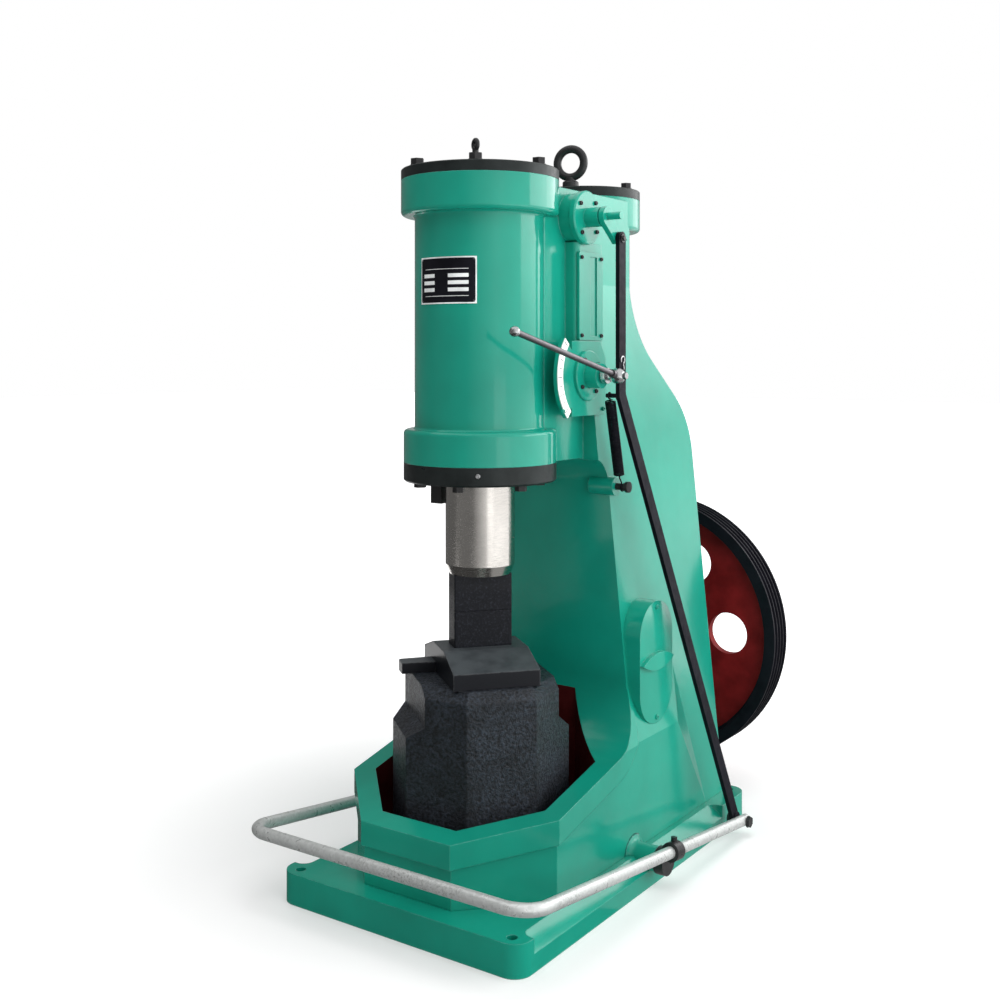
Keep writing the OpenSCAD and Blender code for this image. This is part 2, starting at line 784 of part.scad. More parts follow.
// Into the treadle's own frame: pivot at the origin, arms level
module on_treadle() {
    translate([0, pivot[0], pivot[1]]) rotate([-arm_slope, 0, 0]) children();
}
module treadle_path() {
    w = treadle_w / 2;
    arms = [[w, rear_arm], [-w, short_arm]];
    translate([0, 0, pipe_rise]) {
        for (arm = arms) translate([arm[0], arm[1], 0]) rotate([90, 0, 0])
            cylinder(d = pipe_d, h = arm[1] + front_arm - bend_r);
        translate([-w + bend_r, -front_arm, 0]) rotate([0, 90, 0])
            cylinder(d = pipe_d, h = treadle_w - 2 * bend_r);
        for (s = [[1, -90], [-1, 180]]) translate([s[0] * (w - bend_r), bend_r - front_arm, 0])
            rotate(s[1]) rotate_extrude(angle = 90) translate([bend_r, 0]) circle(d = pipe_d);
    }
}
module treadle() {
    color("silver") difference() {
        on_treadle() treadle_path();
        translate([rod_low_x, pin_y, pin_z]) rotate([0, 90, 0])
            cylinder(r = pin_r, h = pipe_d + 40);
    }
}
module treadle_fittings() {
    w = treadle_w / 2;
    hub_x = lug_x + hub_gap;
    color("black") both_sides() on_treadle() difference() {
        union() {
            translate([hub_x, 0, 0]) rotate([0, 90, 0])
                cylinder(r = hub_r, h = w - pipe_d / 2 + 3 - hub_x);
            // clamp round the pipe, with its screw
            translate([w, clamp_l / 2, pipe_rise]) rotate([90, 0, 0])
                cylinder(r = pipe_d / 2 + clamp_t, h = clamp_l);
            translate([w, 0, pipe_rise]) cylinder(r = 7, h = pipe_d / 2 + clamp_t + 10);
        }
        translate([hub_x - 1, 0, 0]) rotate([0, 90, 0])
            cylinder(r = stub_r + stub_gap, h = stub_l - hub_gap + 3);
        translate([w, rear_arm, pipe_rise]) rotate([90, 0, 0]) cylinder(d = pipe_d, h = front_arm);
    }
    // pin through the pipe end and the pull rod
    color("black") translate([rod_low_x - rod_t / 2 - 12, pin_y, pin_z]) rotate([0, 90, 0]) {
        cylinder(r = pin_r, h = w + pipe_d / 2 + 8 - rod_low_x + rod_t / 2 + 12);
        cylinder(d = 24, h = 9);
        translate([0, 0, w + pipe_d / 2 - rod_low_x + rod_t / 2 + 12]) hex_head(24, 8);
    }
}
rod_run = [rod_low_x - rod_x - rod_t / 2, pin_y - top_y, pin_z - knee_z];
module pull_rod() {
    l = top_pin_z - knee_z;
    color("black") difference() {
        union() {
            translate([0, top_y, knee_z]) along_x(rod_x, rod_x + rod_t) {
                translate([-rod_w / 2, 0]) square([rod_w, l]);
                translate([0, l]) circle(rod_w / 2);
            }
            translate([rod_x - 0.5, top_y, knee_z]) rotate([0, 90, 0])
                cylinder(d = rod_w + 1, h = rod_t + 1);
            translate([rod_x + rod_t / 2, top_y, knee_z])
                rotate([atan2(rod_run[1], -rod_run[2]), 0, 0])
                rotate([0, -asin(rod_run[0] / norm(rod_run)), 0])
                translate([-rod_t / 2, -rod_w / 2, -norm(rod_run)])
                    cube([rod_t, rod_w, norm(rod_run)]);
            translate([rod_low_x - rod_t / 2 - 1, pin_y, pin_z]) rotate([0, 90, 0])
                cylinder(d = rod_w + 6, h = rod_t + 2);
            // peg that carries the spring
            translate([spring_x - 8, spring_top[0], spring_top[1]]) rotate([0, 90, 0])
                cylinder(r = peg_r, h = rod_x - spring_x + 10);
        }
        translate([rod_x - 5, top_y, top_pin_z]) rotate([0, 90, 0])
            cylinder(r = top_pin_r + open_gap, h = rod_t + 10);
        translate([rod_low_x - 20, pin_y, pin_z]) rotate([0, 90, 0])
            cylinder(r = pin_r + pin_gap, h = 40);
    }
}

base_plate();
anvil_housing();
column();
working_cylinder();
anvil_block();
sow_block();
sow_key();
lower_die();
front_cover();
compressor_cover();
cover_bolts();
front_eyebolt();
lifting_eyebolt();
gland_flange();
gland_bolts();
ram_latch();
valve_chest_cover();
upper_valve_cover();
quadrant_plate();
scale_arc();
lower_valve_cover();
side_cover();
spring_anchor();
return_spring();
treadle_lugs();
treadle_stubs();
crank_bearing();
nameplate();
ram();
upper_die();
flywheel();
treadle();
treadle_fittings();
pull_rod();
valve_lever();
hand_lever();
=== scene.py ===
"""Looks of a small one-piece air forging hammer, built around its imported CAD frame."""
import math

import bmesh
import bpy
from mathutils import Matrix, Vector

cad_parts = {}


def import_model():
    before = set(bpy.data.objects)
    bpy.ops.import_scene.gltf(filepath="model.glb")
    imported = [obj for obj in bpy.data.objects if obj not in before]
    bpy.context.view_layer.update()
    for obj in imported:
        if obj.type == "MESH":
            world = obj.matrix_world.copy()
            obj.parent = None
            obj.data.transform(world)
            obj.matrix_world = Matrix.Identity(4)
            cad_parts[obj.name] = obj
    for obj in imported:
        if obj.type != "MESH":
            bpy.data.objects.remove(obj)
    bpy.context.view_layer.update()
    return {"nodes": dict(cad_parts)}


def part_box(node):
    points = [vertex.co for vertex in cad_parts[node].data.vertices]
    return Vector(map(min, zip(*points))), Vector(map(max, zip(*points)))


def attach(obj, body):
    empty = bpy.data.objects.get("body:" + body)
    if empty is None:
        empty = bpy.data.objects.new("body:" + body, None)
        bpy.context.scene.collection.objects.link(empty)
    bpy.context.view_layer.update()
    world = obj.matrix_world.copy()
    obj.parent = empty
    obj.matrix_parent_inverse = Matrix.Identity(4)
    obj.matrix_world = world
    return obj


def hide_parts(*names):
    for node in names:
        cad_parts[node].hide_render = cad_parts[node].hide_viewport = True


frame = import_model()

NODES = frame["nodes"]
MM = 0.001

# Linear colours of the finishes
GREEN = (0.005, 0.335, 0.236, 1)
GREEN_DEEP = (0.004, 0.260, 0.184, 1)
# Paler green, painted along the enamel's edges as a highlight
GREEN_EDGE_HIGHLIGHT = (0.150, 0.520, 0.440, 1)
BLACK = (0.009, 0.012, 0.012, 1)
BLUE_BLACK = (0.003, 0.003, 0.006, 1)
DUST = (0.16, 0.16, 0.15, 1)
MAROON = (0.050, 0.004, 0.004, 1)
RED = (0.150, 0.006, 0.007, 1)
BOLT_GREY = (0.014, 0.014, 0.015, 1)
SILVER = (0.62, 0.63, 0.64, 1)
PLATE_GREY = (0.66, 0.68, 0.68, 1)
STEEL_WARM = (0.72, 0.69, 0.65, 1)
STEEL_DULL = (0.19, 0.175, 0.19, 1)
WHITE = (0.80, 0.80, 0.78, 1)


# ---------------------------------------------------------------- places and sizes, metres
def centre(node):
    low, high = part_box(node)
    return (low + high) / 2


def outer(node, axis):
    """How far the node reaches along +axis, where axis is 0, 1 or 2."""
    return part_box(node)[1][axis]


RAM_Y = centre("gland_flange").y
BARREL_R = 148 * MM
VALVE_Y = centre("upper_valve_cover").y
VALVE_TOP_Z = centre("upper_valve_cover").z
VALVE_LOW_Z = centre("lower_valve_cover").z
WHEEL = centre("flywheel")
RIGHT = (1, 0, 0)
BACKWARD = (0, 1, 0)

# The pull rod's upper part: its outer face, its middle, and its top pin
ROD_OUT_X = 250 * MM
ROD_Y = -6.85 * MM
TOP_PIN_Z = outer("pull_rod", 2) - 15 * MM

# The spring leans 50 forward in a height of 209, and the control handle rises to the front
SPRING_TILT = math.atan2(50, 209)
LEVER_TILT = math.radians(12.7)

# Where a node's second finish begins
LEVER_TIP_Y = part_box("hand_lever")[0].y
LEVER_BALL = 22 * MM
LEVER_CLAMP_R = 18 * MM
TUB_HOLLOW_R = 0.27
TUB_HOLLOW_TOP = 0.35
WHEEL_WEB_R = 0.310
DIE_SMOOTH_Z = 0.690
DIE_ROUGH_Z = 0.668

# The photograph's view, as position in metres, turn in degrees and lens in millimetres
CAMERA_PLACE = (1.6404, -2.5047, 1.2)
CAMERA_TURN = 34.749
CAMERA_LENS = 44.66
CAMERA_SENSOR = 36
CAMERA_SHIFT = -0.1436

# The white surroundings: strength as a light, as seen or mirrored, and at a fading card's foot
WORLD_LIGHT = 0.38
WORLD_SEEN = 1.0
CARD_FOOT = 0.8

# Floor flags: height, radius, and degrees between the points of their round side
FLAG_HEIGHT = 2 * MM
FLAG_RADIUS = 3.0
FLAG_STEP = 5


def facing(place, direction, spin=0.0):
    """A frame at a place whose Z points in a direction, turned about it by spin degrees."""
    turn = Vector(direction).to_track_quat("Z", "Y").to_matrix().to_4x4()
    return Matrix.Translation(place) @ turn @ Matrix.Rotation(math.radians(spin), 4, "Z")


def on_circle(middle, radius, degrees, plane):
    """A point on a circle in the "xy", "yz" or "xz" plane."""
    a, b = ("xyz".index(letter) for letter in plane)
    point = Vector(middle)
    point[a] += radius * math.cos(math.radians(degrees))
    point[b] += radius * math.sin(math.radians(degrees))
    return point


# ---------------------------------------------------------------- node tools
class Graph:
    """A material's node tree, built by short calls."""

    def __init__(self, name):
        self.material = bpy.data.materials.new(name)
        self.material.use_nodes = True
        self.tree = self.material.node_tree
        self.shader = self.tree.nodes["Principled BSDF"]

    def plug(self, socket, value):
        if isinstance(value, bpy.types.NodeSocket):
            self.tree.links.new(value, socket)
        else:
            socket.default_value = value

    def add(self, kind, values=None, **settings):
        node = self.tree.nodes.new("ShaderNode" + kind)
        for key, value in settings.items():
            setattr(node, key, value)
        for key, value in (values or {}).items():
            self.plug(node.inputs[key], value)
        return node

    def position(self, stretch=(1, 1, 1)):
        where = self.add("TexCoord").outputs["Object"]
        if stretch == (1, 1, 1):
            return where
        return self.add("Mapping", {"Vector": where, "Scale": stretch}).outputs["Vector"]

    def noise(self, scale, detail=4.0, roughness=0.55, stretch=(1, 1, 1)):
        values = {"Vector": self.position(stretch), "Scale": scale, "Detail": detail,
                  "Roughness": roughness}
        return self.add("TexNoise", values).outputs["Fac"]

    def cells(self, scale, output="Color"):
        values = {"Vector": self.position(), "Scale": scale}
        return self.add("TexVoronoi", values).outputs[output]

    def ramp(self, fac, low, high, out_low=0.0, out_high=1.0):
        values = {"Value": fac, "From Min": low, "From Max": high,
                  "To Min": out_low, "To Max": out_high}
        return self.add("MapRange", values).outputs["Result"]

    def mix(self, fac, a, b):
        node = self.add("Mix", data_type="RGBA")
        # A colour mix takes its factor at input 0 and its colours at 6 and 7
        for index, value in ((0, fac), (6, a), (7, b)):
            self.plug(node.inputs[index], value)
        return node.outputs[2]

    def math(self, operation, a, b=0.5):
        return self.add("Math", {0: a, 1: b}, operation=operation).outputs[0]

    def rounded(self, radius):
        """The normal with every sharp edge rounded off."""
        return self.add("Bevel", {"Radius": radius}, samples=4).outputs["Normal"]

    def off_seam(self, seam_y):
        """0 beside a joint of two castings that are painted over as one, 1 elsewhere."""
        y = self.add("SeparateXYZ", {0: self.position()}).outputs["Y"]
        off = self.math("ABSOLUTE", self.math("SUBTRACT", y, seam_y))
        return self.ramp(off, 5 * MM, 9 * MM)

    def plain_at(self, normal, off):
        """The normal given, and the true one where off is 0."""
        node = self.add("Mix", data_type="VECTOR")
        self.plug(node.inputs[0], off)
        self.plug(node.inputs[4], self.add("NewGeometry").outputs["Normal"])
        self.plug(node.inputs[5], normal)
        return node.outputs[1]

    def bump(self, height, strength, distance, normal=None):
        values = {"Height": height, "Strength": strength, "Distance": distance}
        if normal:
            values["Normal"] = normal
        return self.add("Bump", values).outputs["Normal"]

    def edges(self, radius):
        """1 along edges, 0 on flats."""
        true = self.add("NewGeometry").outputs["Normal"]
        values = {0: self.rounded(radius), 1: true}
        dot = self.add("VectorMath", values, operation="DOT_PRODUCT").outputs["Value"]
        return self.ramp(dot, 0.985, 0.82)

    def set(self, **sockets):
        for key, value in sockets.items():
            self.plug(self.shader.inputs[key.replace("_", " ")], value)
        return self.material


# ---------------------------------------------------------------- materials
def enamel(name, wave=0.12, grain=0.09, edge=0.0035, gloss=0.16, seam_y=None):
    """Gloss enamel, brushed thick over a casting: slight waves, orange peel, and a painted highlight
    of paler green along edges.
    """
    g = Graph(name)
    tone = g.mix(g.ramp(g.noise(3.0, 3.0), 0.35, 0.65), GREEN, GREEN_DEEP)
    runs = g.noise(9.0, 5.0, 0.6, (1, 1, 0.35))
    tone = g.mix(g.ramp(runs, 0.52, 0.75, 0, 0.35), tone, GREEN_DEEP)
    # Painted highlight: paler green along edges, in patches, in place of the light that rounded
    # edges catch
    painted_edge_highlight = g.math("MULTIPLY", g.edges(edge * 0.8), g.ramp(g.noise(40.0, 6.0), 0.38, 0.60))
    round_edges = g.rounded(edge)
    if seam_y is not None:
        off = g.off_seam(seam_y)
        painted_edge_highlight = g.math("MULTIPLY", painted_edge_highlight, off)
        round_edges = g.plain_at(round_edges, off)
    tone = g.mix(g.math("MULTIPLY", painted_edge_highlight, 0.7), tone, GREEN_EDGE_HIGHLIGHT)
    waves = g.bump(g.noise(11.0, 3.0), wave, 0.006, round_edges)
    peel = g.bump(g.noise(230.0, 3.0, 0.6), grain, 0.0012, waves)
    rough = g.ramp(g.noise(22.0, 5.0), 0.3, 0.7, 0.34, 0.46)
    return g.set(Base_Color=tone, Roughness=rough, Normal=peel, Specular_IOR_Level=0.08,
                 Coat_Weight=1.0, Coat_Roughness=gloss, Coat_IOR=1.5, Coat_Normal=peel)


def paint(name, colour, roughness=0.4, edge=0.0015, grain=0.08, dust_and_sheen=0.35, shine=0.35):
    """Satin machine paint with rubbed edges and a little dust."""
    g = Graph(name)
    lighter = tuple(channel * 1.7 + 0.003 for channel in colour[:3]) + (1,)
    tone = g.mix(g.ramp(g.noise(18.0), 0.3, 0.7), colour, lighter)
    rub = g.math("MULTIPLY", g.edges(edge), g.ramp(g.noise(120.0, 5.0), 0.4, 0.6))
    tone = g.mix(g.math("MULTIPLY", rub, dust_and_sheen), tone, DUST)
    normal = g.bump(g.noise(260.0, 4.0), grain, 0.001, g.rounded(edge))
    rough = g.ramp(g.noise(60.0), 0.3, 0.7, roughness - 0.07, roughness + 0.1)
    return g.set(Base_Color=tone, Roughness=rough, Normal=normal, Specular_IOR_Level=shine)


def metal(name, colour, roughness, edge=0.001, marks=300.0, stretch=(1, 1, 1), depth=0.05):
    """Bare metal with directional marks."""
    g = Graph(name)
    lines = g.noise(marks, 3.0, stretch=stretch)
    darker = tuple(channel * 0.75 for channel in colour[:3]) + (1,)
    tone = g.mix(g.ramp(g.noise(9.0, 3.0), 0.3, 0.7), colour, darker)
    tone = g.mix(g.ramp(lines, 0.35, 0.75, 0, 0.35), tone, darker)
    rough = g.ramp(lines, 0.3, 0.7, roughness * 0.75, roughness * 1.4)
    normal = g.bump(lines, depth, 0.0004, g.rounded(edge))
    return g.set(Base_Color=tone, Metallic=1.0, Roughness=rough, Normal=normal)


def zinc(name):
    """Galvanised pipe: dull spangles, with worn and dirty patches."""
    g = Graph(name)
    spangle = g.ramp(g.cells(160.0), 0.0, 1.0)
    tone = g.mix(spangle, (0.54, 0.56, 0.55, 1), (0.68, 0.70, 0.69, 1))
    dirt = g.math("MULTIPLY", g.ramp(g.noise(240.0, 6.0, 0.7), 0.50, 0.68, 0, 0.8),
                  g.ramp(g.noise(6.0, 3.0), 0.50, 0.62))
    tone = g.mix(dirt, tone, (0.10, 0.105, 0.095, 1))
    rough = g.ramp(g.noise(60.0, 5.0), 0.3, 0.7, 0.24, 0.44)
    normal = g.bump(g.noise(420.0, 4.0), 0.05, 0.0006, g.bump(g.noise(50.0), 0.06, 0.001))
    return g.set(Base_Color=tone, Metallic=0.45, Roughness=rough, Normal=normal)


def raw_casting(name, low, high):
    """Rough black casting: sand grit whose worn tops glint where light grazes it."""
    g = Graph(name)
    grit = g.noise(150.0, 5.0, 0.66)
    pits = g.cells(95.0, "Distance")
    lumps = g.noise(20.0, 4.0)
    worn = g.math("MULTIPLY", g.ramp(grit, 0.40, 0.78), g.ramp(g.noise(14.0, 4.0), 0.15, 0.60))
    tone = g.mix(worn, low, high)
    coarse = g.bump(lumps, 0.35, 0.008, g.rounded(0.006))
    normal = g.bump(grit, 0.9, 0.006, g.bump(pits, 0.3, 0.002, coarse))
    rough = g.ramp(grit, 0.35, 0.65, 0.50, 0.28)
    return g.set(Base_Color=tone, Metallic=g.math("MULTIPLY", worn, 0.6), Roughness=rough,
                 Normal=normal, Specular_IOR_Level=0.50)


def black_with_painted_sheen(name):
    """Smooth black paint, greyed in patches where it faces up: a painted sheen in place of the sky's
    reflection.
    """
    g = Graph(name)
    up = g.add("SeparateXYZ", {0: g.add("NewGeometry").outputs["Normal"]}).outputs["Z"]
    patches = g.ramp(g.noise(25.0, 5.0), 0.2, 0.6, 0.4, 1.0)
    # Painted sheen: faces that look up are made greyer in patches, standing in for reflected sky
    dust_and_sheen = g.math("MULTIPLY", g.ramp(up, 0.25, 0.75), patches)
    rim = g.math("MULTIPLY", g.edges(0.004), g.ramp(g.noise(90.0, 5.0), 0.36, 0.56, 0, 0.8))
    tone = g.mix(dust_and_sheen, (0.006, 0.007, 0.010, 1), (0.062, 0.072, 0.078, 1))
    tone = g.mix(rim, tone, (0.15, 0.16, 0.17, 1))
    normal = g.bump(g.noise(160.0, 4.0), 0.05, 0.001, g.rounded(0.004))
    return g.set(Base_Color=tone, Roughness=g.ramp(dust_and_sheen, 0.0, 1.0, 0.34, 0.48), Normal=normal,
                 Specular_IOR_Level=0.3)


def forged(name):
    """Black scale on forged dies: smoother above, rougher where it meets the work."""
    g = Graph(name)
    flakes = g.noise(190.0, 6.0, 0.7)
    height = g.add("SeparateXYZ", {0: g.position()}).outputs["Z"]
    rougher = g.ramp(height, DIE_SMOOTH_Z, DIE_ROUGH_Z)
    tone = g.mix(g.ramp(flakes, 0.52, 0.72), (0.005, 0.006, 0.009, 1), (0.028, 0.031, 0.042, 1))
    fine = g.bump(g.noise(60.0), 0.08, 0.001, g.rounded(0.002))
    depth = g.bump(g.math("MULTIPLY", flakes, rougher), 0.55, 0.003, fine)
    return g.set(Base_Color=tone, Roughness=g.ramp(flakes, 0.3, 0.7, 0.34, 0.52),
                 Normal=depth, Specular_IOR_Level=0.25)


GREEN_CAST = enamel("green_casting", seam_y=outer("anvil_housing", 1))
GREEN_TURNED = enamel("green_barrel", wave=0.05, grain=0.05, edge=0.0025, gloss=0.07)
GREEN_SMALL = enamel("green_fittings", wave=0.06, grain=0.05, edge=0.0016, gloss=0.12)
BLACK_SATIN = paint("black_satin", BLACK, 0.34, shine=0.25)
ROD_BLACK = paint("rod_black", BLUE_BLACK, 0.50, edge=0.0012, dust_and_sheen=0.12, shine=0.12)
PLATE_BLACK = paint("plate_black", BLUE_BLACK, 0.40, edge=0.0004, grain=0.04, dust_and_sheen=0.0, shine=0.2)
RIM_BLACK = paint("rim_black", BLUE_BLACK, 0.50, edge=0.002, grain=0.10, dust_and_sheen=0.2, shine=0.15)
BOLT_BLACK = paint("bolt_black", BOLT_GREY, 0.32, edge=0.0008, grain=0.10, dust_and_sheen=0.9)
TUB_MAROON = paint("tub_maroon", MAROON, 0.5, edge=0.002, grain=0.15, dust_and_sheen=0.0, shine=0.15)
WHEEL_RED = paint("wheel_red", RED, 0.50, edge=0.003, grain=0.12, dust_and_sheen=0.1, shine=0.15)
SCALE_WHITE = paint("scale_white", WHITE, 0.35, edge=0.0006, grain=0.03, dust_and_sheen=0.0)
TICK_BLACK = paint("tick_black", BLACK, 0.5, edge=0.0003, grain=0.03, dust_and_sheen=0.0)
PLATE_SILVER = paint("plate_silver", PLATE_GREY, 0.30, edge=0.0004, grain=0.04, dust_and_sheen=0.0, shine=0.6)
ANVIL_BLACK = raw_casting("anvil_cast", (0.004, 0.005, 0.007, 1), (0.075, 0.095, 0.125, 1))
SOW_BLACK = black_with_painted_sheen("sow_black")
DIE_BLACK = forged("die_scale")
GROUND_STEEL = metal("ground_steel", STEEL_WARM, 0.20, edge=0.0015, marks=60.0,
                     stretch=(1, 1, 14), depth=0.006)
BRIGHT_STEEL = metal("bright_steel", SILVER, 0.22, edge=0.0008, marks=240.0)
TURNED_STEEL = metal("turned_steel", STEEL_DULL, 0.34, marks=200.0, stretch=(12, 1, 1))
PIPE_ZINC = zinc("pipe_zinc")


def assign(material, *names):
    for name in names:
        mesh = NODES[name].data
        mesh.materials.clear()
        mesh.materials.append(material)


def paint_faces(node, material, chosen):
    """A second material on the node's faces for which chosen(middle, normal) is true."""
    mesh = NODES[node].data
    mesh.materials.append(material)
    for face in mesh.polygons:
        if chosen(face.center, face.normal):
            face.material_index = len(mesh.materials) - 1


def inside_tub(middle, normal):
    """The walls of the tub's hollow look towards the anvil's axis."""
    inward = Vector((-middle.x, RAM_Y - middle.y, 0))
    upright = abs(normal.z) < 0.1
    hollow = upright and inward.length < TUB_HOLLOW_R and middle.z < TUB_HOLLOW_TOP
    return hollow and normal.dot(inward) > 0.5 * inward.length


def on_wheel_rim(middle, normal):
    """The wheel is black outside its web, whichever way the face looks."""
    return math.hypot(middle.x - WHEEL.x, middle.z - WHEEL.z) > WHEEL_WEB_R


def on_lever_ends(middle, normal):
    """The ball and the clamp of the control handle are bright, its bar is dull."""
    from_shaft = math.hypot(middle.y - VALVE_Y, middle.z - VALVE_LOW_Z)
    return middle.y < LEVER_TIP_Y + LEVER_BALL or from_shaft < LEVER_CLAMP_R


def finish_frame():
    """Materials of the CAD nodes that stay in view."""
    assign(GREEN_CAST, "base_plate", "anvil_housing", "column", "crank_bearing", "treadle_lugs")
    assign(GREEN_TURNED, "working_cylinder")
    assign(GREEN_SMALL, "valve_chest_cover", "upper_valve_cover", "quadrant_plate",
           "lower_valve_cover", "side_cover", "valve_lever")
    assign(BLACK_SATIN, "front_cover", "compressor_cover", "gland_flange")
    assign(BOLT_BLACK, "cover_bolts", "front_eyebolt", "lifting_eyebolt", "gland_bolts",
           "ram_latch", "spring_anchor", "treadle_fittings")
    assign(ROD_BLACK, "pull_rod")
    assign(ANVIL_BLACK, "anvil_block")
    assign(SOW_BLACK, "sow_block", "sow_key")
    assign(DIE_BLACK, "lower_die", "upper_die")
    assign(GROUND_STEEL, "ram")
    assign(PIPE_ZINC, "treadle")
    assign(BRIGHT_STEEL, "treadle_stubs")
    assign(PLATE_SILVER, "nameplate")
    assign(TURNED_STEEL, "hand_lever")
    assign(SCALE_WHITE, "scale_arc")
    assign(WHEEL_RED, "flywheel")
    paint_faces("anvil_housing", TUB_MAROON, inside_tub)
    paint_faces("flywheel", RIM_BLACK, on_wheel_rim)
    paint_faces("hand_lever", BRIGHT_STEEL, on_lever_ends)


# ---------------------------------------------------------------- piece builder
class Piece:
    """One mesh joined from turned, swept and bent forms."""

    def __init__(self):
        self.bm = bmesh.new()

    def ring(self, points):
        return [self.bm.verts.new(point) for point in points]

    def bridge(self, low, high):
        """Faces between two closed rings, either of which may be a single point."""
        count = max(len(low), len(high))
        for i in range(count):
            j = (i + 1) % count
            loop = [low[i % len(low)], low[j % len(low)], high[j % len(high)], high[i % len(high)]]
            self.bm.faces.new(list(dict.fromkeys(loop)))

    def turn(self, profile, place, sides=32):
        """A profile of (radius, height) points, turned about the place's Z."""
        rings = []
        for radius, height in profile:
            count = sides if radius > 0 else 1
            angles = [math.tau * k / sides for k in range(count)]
            rings.append(self.ring([place @ Vector((radius * math.cos(a), radius * math.sin(a),
                                                    height)) for a in angles]))
        for low, high in zip(rings, rings[1:]):
            self.bridge(low, high)

    def hex_head(self, place, across, height):
        """A six-sided head, its corners chamfered, on a thin washer face."""
        r = across / math.sqrt(3)
        face = 0.12 * height
        self.turn([(0, -face), (across * 0.49, -face), (across * 0.49, face)], place, 24)
        self.turn([(0, 0), (r, face), (r, height * 0.86), (r * 0.86, height), (0, height)], place, 6)

    def cap_head(self, place, radius, height):
        """A round socket head: a rolled rim round a recess."""
        roll = radius * 0.18
        self.turn([(0, -height * 0.2), (radius, -height * 0.2), (radius, height - roll),
                   (radius - roll * 0.3, height - roll * 0.3), (radius - roll, height),
                   (radius * 0.55, height), (radius * 0.50, height * 0.4), (0, height * 0.4)],
                  place, 20)

    def tube(self, points, radius, sides=10):
        """A round wire along points."""
        points = [Vector(point) for point in points]
        last = len(points) - 1
        normal = (points[1] - points[0]).orthogonal().normalized()
        rings = []
        for i, point in enumerate(points):
            tangent = (points[min(i + 1, last)] - points[max(i - 1, 0)]).normalized()
            normal = (normal - tangent * normal.dot(tangent)).normalized()
            side = tangent.cross(normal)
            angles = [math.tau * k / sides for k in range(sides)]
            rings.append(self.ring([point + radius * (math.cos(a) * normal + math.sin(a) * side)
                                    for a in angles]))
        for low, high in zip(rings, rings[1:]):
            self.bridge(low, high)
        self.bm.faces.new(rings[0][::-1])
        self.bm.faces.new(rings[-1])

    def block(self, place, size, bevel):
        """A box with rounded edges."""
        made = bmesh.ops.create_cube(self.bm, size=1)["verts"]
        for vert in made:
            vert.co = place @ Vector([c * s for c, s in zip(vert.co, size)])
        edges = list({edge for vert in made for edge in vert.link_edges})
        bmesh.ops.bevel(self.bm, geom=edges, offset=bevel, segments=2, affect="EDGES",
                        profile=0.5)

    def bent_panel(self, radius, arc, heights, thick, corner):
        """A panel bent round the barrel: arc in degrees, heights in metres, round corners."""
        start, end = (math.radians(a) for a in arc)
        length = (end - start) * radius
        steps = [corner * (1 - math.cos(math.radians(t))) for t in range(0, 91, 15)]
        flat = [corner + (length - 2 * corner) * k / 12 for k in range(1, 12)]
        runs = steps + flat + [length - step for step in reversed(steps)]
        columns = []
        for run in runs:
            into = max(corner - min(run, length - run), 0)
            rise = corner - math.sqrt(max(corner ** 2 - into ** 2, 0))
            angle = start + run / radius
            column = []
            for r in (radius - thick, radius + thick):
                for z in (heights[0] + rise, heights[1] - rise):
                    column.append((r * math.cos(angle), RAM_Y + r * math.sin(angle), z))
            columns.append(self.ring(column[i] for i in (0, 2, 3, 1)))
        for low, high in zip(columns, columns[1:]):
            self.bridge(high, low)
        self.bm.faces.new(columns[0])
        self.bm.faces.new(columns[-1][::-1])

    def make(self, name, material, body, slot, *replaced):
        bmesh.ops.remove_doubles(self.bm, verts=self.bm.verts, dist=1e-7)
        bmesh.ops.recalc_face_normals(self.bm, faces=self.bm.faces)
        mesh = bpy.data.meshes.new(name)
        self.bm.to_mesh(mesh)
        self.bm.free()
        mesh.shade_smooth()
        mesh.set_sharp_from_angle(angle=math.radians(32))
        mesh.materials.append(material)
        obj = bpy.data.objects.new(name, mesh)
        bpy.context.scene.collection.objects.link(obj)
        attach(obj, body)
        if replaced:
            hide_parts(*replaced)
        return obj


# ---------------------------------------------------------------- fasteners
def valve_screws():
    """Socket screws of the valve chest: panel, both flanges and the quadrant plate."""
    small, large = 4.5 * MM, 5 * MM
    panel_low, panel_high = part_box("valve_chest_cover")
    screws = Piece()
    for y in (panel_low.y + 9 * MM, panel_high.y - 9 * MM):
        for z in (panel_low.z + 11 * MM, panel_high.z - 13 * MM):
            screws.cap_head(facing((panel_high.x, y, z), RIGHT), small, small)
    screws.make("chest_screws", BOLT_BLACK, "frame", "cover_bolts")

    screws = Piece()
    upper_x = outer("valve_chest_cover", 0) + 8 * MM
    lower_x = outer("scale_arc", 0) + 5.5 * MM
    for x, z, circle_r, first in ((upper_x, VALVE_TOP_Z, 47 * MM, 50),
                                  (lower_x, VALVE_LOW_Z, 44 * MM, 35)):
        for k in range(4):
            spot = on_circle((x, VALVE_Y, z), circle_r, first + 90 * k, "yz")
            screws.cap_head(facing(spot, RIGHT), large, large)
    screws.make("flange_screws", BOLT_BLACK, "frame", "gland_bolts")

    plate_low, plate_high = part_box("quadrant_plate")
    screws = Piece()
    for y in (plate_low.y + 22 * MM, plate_high.y - 14 * MM):
        spot = (plate_high.x, y, plate_low.z + 16 * MM)
        screws.cap_head(facing(spot, RIGHT), large, large)
    screws.make("quadrant_screws", GREEN_SMALL, "frame", "quadrant_plate")


def side_cover_screws():
    """Two socket screws sunk into the oval cover on the column's side."""
    low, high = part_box("side_cover")
    face = high.x - 11 * MM
    inset = 14 * MM
    middle_y = (low.y + high.y) / 2
    screws = Piece()
    for z in (low.z + inset, high.z - inset):
        screws.cap_head(facing((face, middle_y, z), RIGHT), 6 * MM, 4 * MM)
    screws.make("side_cover_screws", GREEN_SMALL, "frame", "side_cover")


